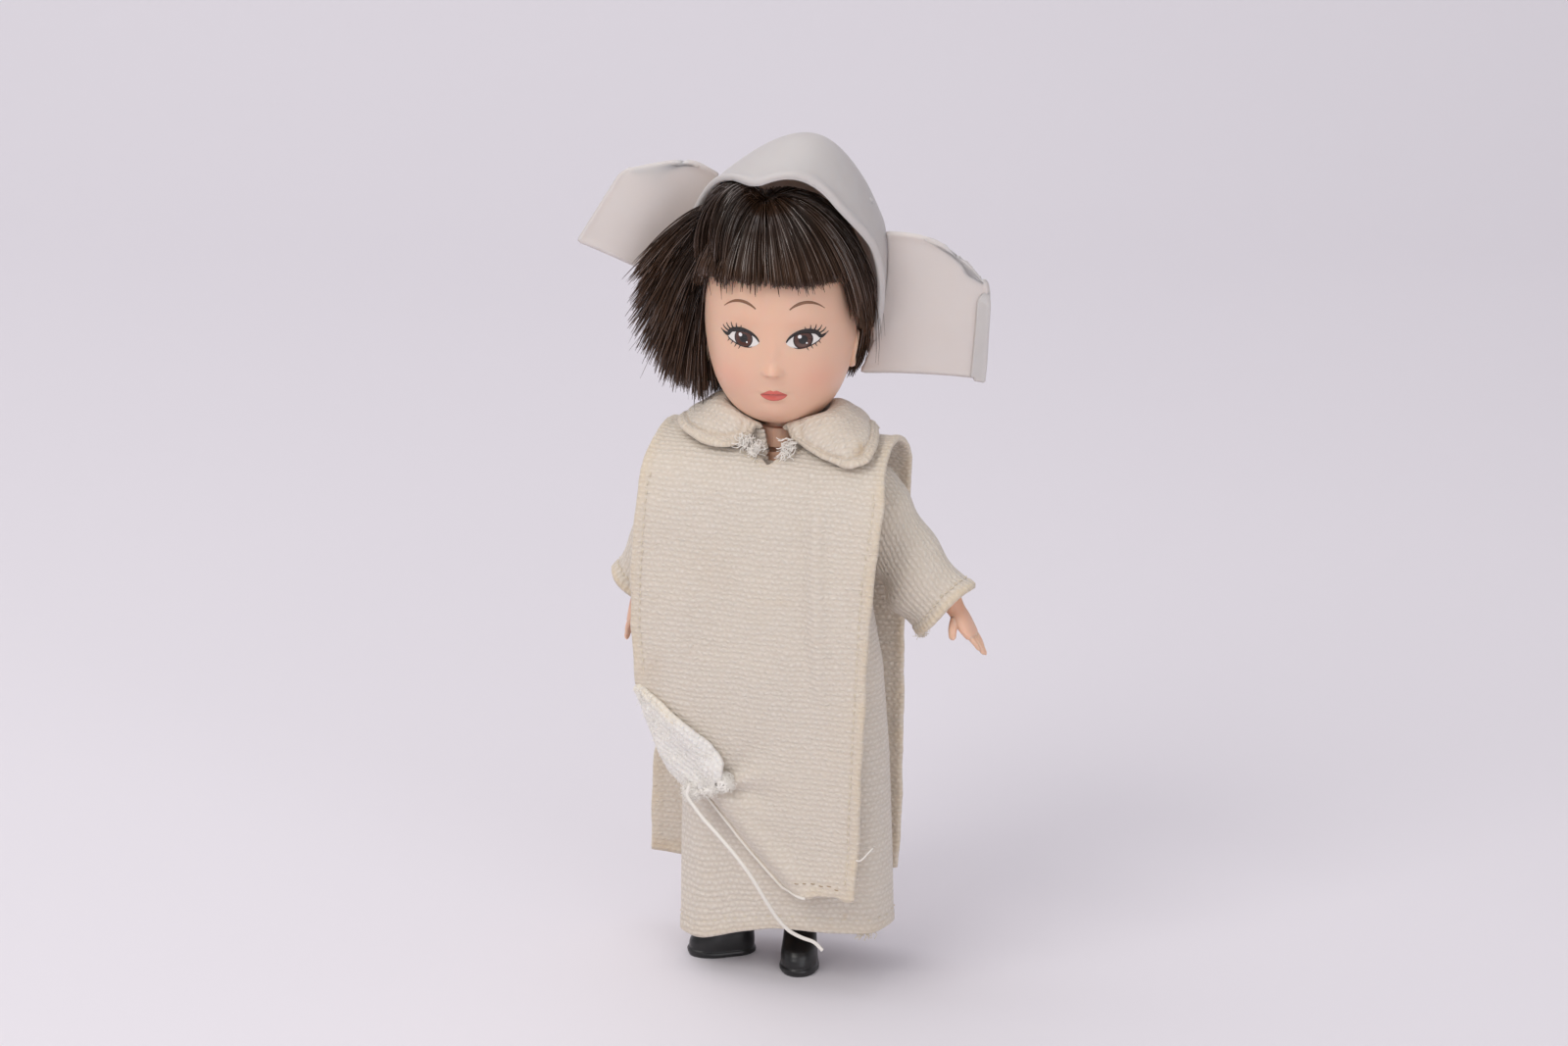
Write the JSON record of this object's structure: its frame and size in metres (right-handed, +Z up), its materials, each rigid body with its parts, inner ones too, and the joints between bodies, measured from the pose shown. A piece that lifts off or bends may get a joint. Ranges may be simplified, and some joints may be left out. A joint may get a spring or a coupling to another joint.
{
  "type": "costume doll",
  "caption": "Small jointed vinyl doll standing in a long cotton tunic with hanging panels, a rounded collar and a lift-off winged vinyl headdress.",
  "frame": {"origin": "on the ground, at the middle of the doll's bounding box without its loose thread, on the doll's body axis within 1 mm", "axes": "+Z up, the doll's body faces -Y and its own left is +X"},
  "size_m": [0.0574, 0.0296, 0.1149],
  "materials": {
    "skin_vinyl": "soft satin vinyl",
    "fibre_hair": "glossy synthetic fibre",
    "natural_cotton": "ribbed unbleached cotton",
    "white_vinyl": "satin, slightly translucent",
    "black_vinyl": "satin black",
    "torso_plastic": "moulded",
    "white_thread": "loose white sewing thread",
    "snap_metal": "plated"
  },
  "bodies": {
    "torso_and_habit": {"torso_front_shell": "torso_plastic", "torso_back_shell": "torso_plastic", "neck_plug": "torso_plastic", "tunic_front": "natural_cotton", "tunic_back_left": "natural_cotton", "tunic_back_right": "natural_cotton", "snap_socket": "snap_metal", "snap_stud": "snap_metal", "scapular_front": "natural_cotton", "scapular_back": "natural_cotton", "left_collar": "natural_cotton", "right_collar": "natural_cotton", "thread_knot": "white_thread", "loose_thread": "white_thread"},
    "head": {"head_shell": "skin_vinyl", "hair_cap": "fibre_hair", "hair_fringe": "fibre_hair", "hair_left_lock": "fibre_hair", "hair_right_bob": "fibre_hair"},
    "headdress": {"cornette_crown": "white_vinyl", "cornette_left_wing": "white_vinyl", "cornette_right_wing": "white_vinyl"},
    "left_arm": {"left_arm": "skin_vinyl", "left_sleeve": "natural_cotton"},
    "right_arm": {"right_arm": "skin_vinyl", "right_sleeve": "natural_cotton"},
    "left_leg": {"left_leg": "skin_vinyl", "left_shoe": "black_vinyl"},
    "right_leg": {"right_leg": "skin_vinyl", "right_shoe": "black_vinyl"}
  },
  "joints": [
    {"name": "head_turn", "type": "hinge", "parent": "torso_and_habit", "child": "head", "pos_m": [0, 0, 0.078], "axis": [0, 0, 1], "continuous": true},
    {"name": "headdress_lift", "type": "slide", "parent": "head", "child": "headdress", "axis": [0.2686, 0.062, 0.9613], "range_m": [0, 0.025]},
    {"name": "left_shoulder", "type": "hinge", "parent": "torso_and_habit", "child": "left_arm", "pos_m": [0.0135, 0, 0.0678], "axis": [1, 0, 0], "range_deg": [-30, 30]},
    {"name": "right_shoulder", "type": "hinge", "parent": "torso_and_habit", "child": "right_arm", "pos_m": [-0.0135, 0, 0.0678], "axis": [1, 0, 0], "range_deg": [-22, 22]},
    {"name": "left_hip", "type": "hinge", "parent": "torso_and_habit", "child": "left_leg", "pos_m": [0.0064, 0, 0.0398], "axis": [1, 0, 0], "range_deg": [-8, 5]},
    {"name": "right_hip", "type": "hinge", "parent": "torso_and_habit", "child": "right_leg", "pos_m": [-0.0064, 0, 0.0398], "axis": [1, 0, 0], "range_deg": [-8, 4]}
  ]
}
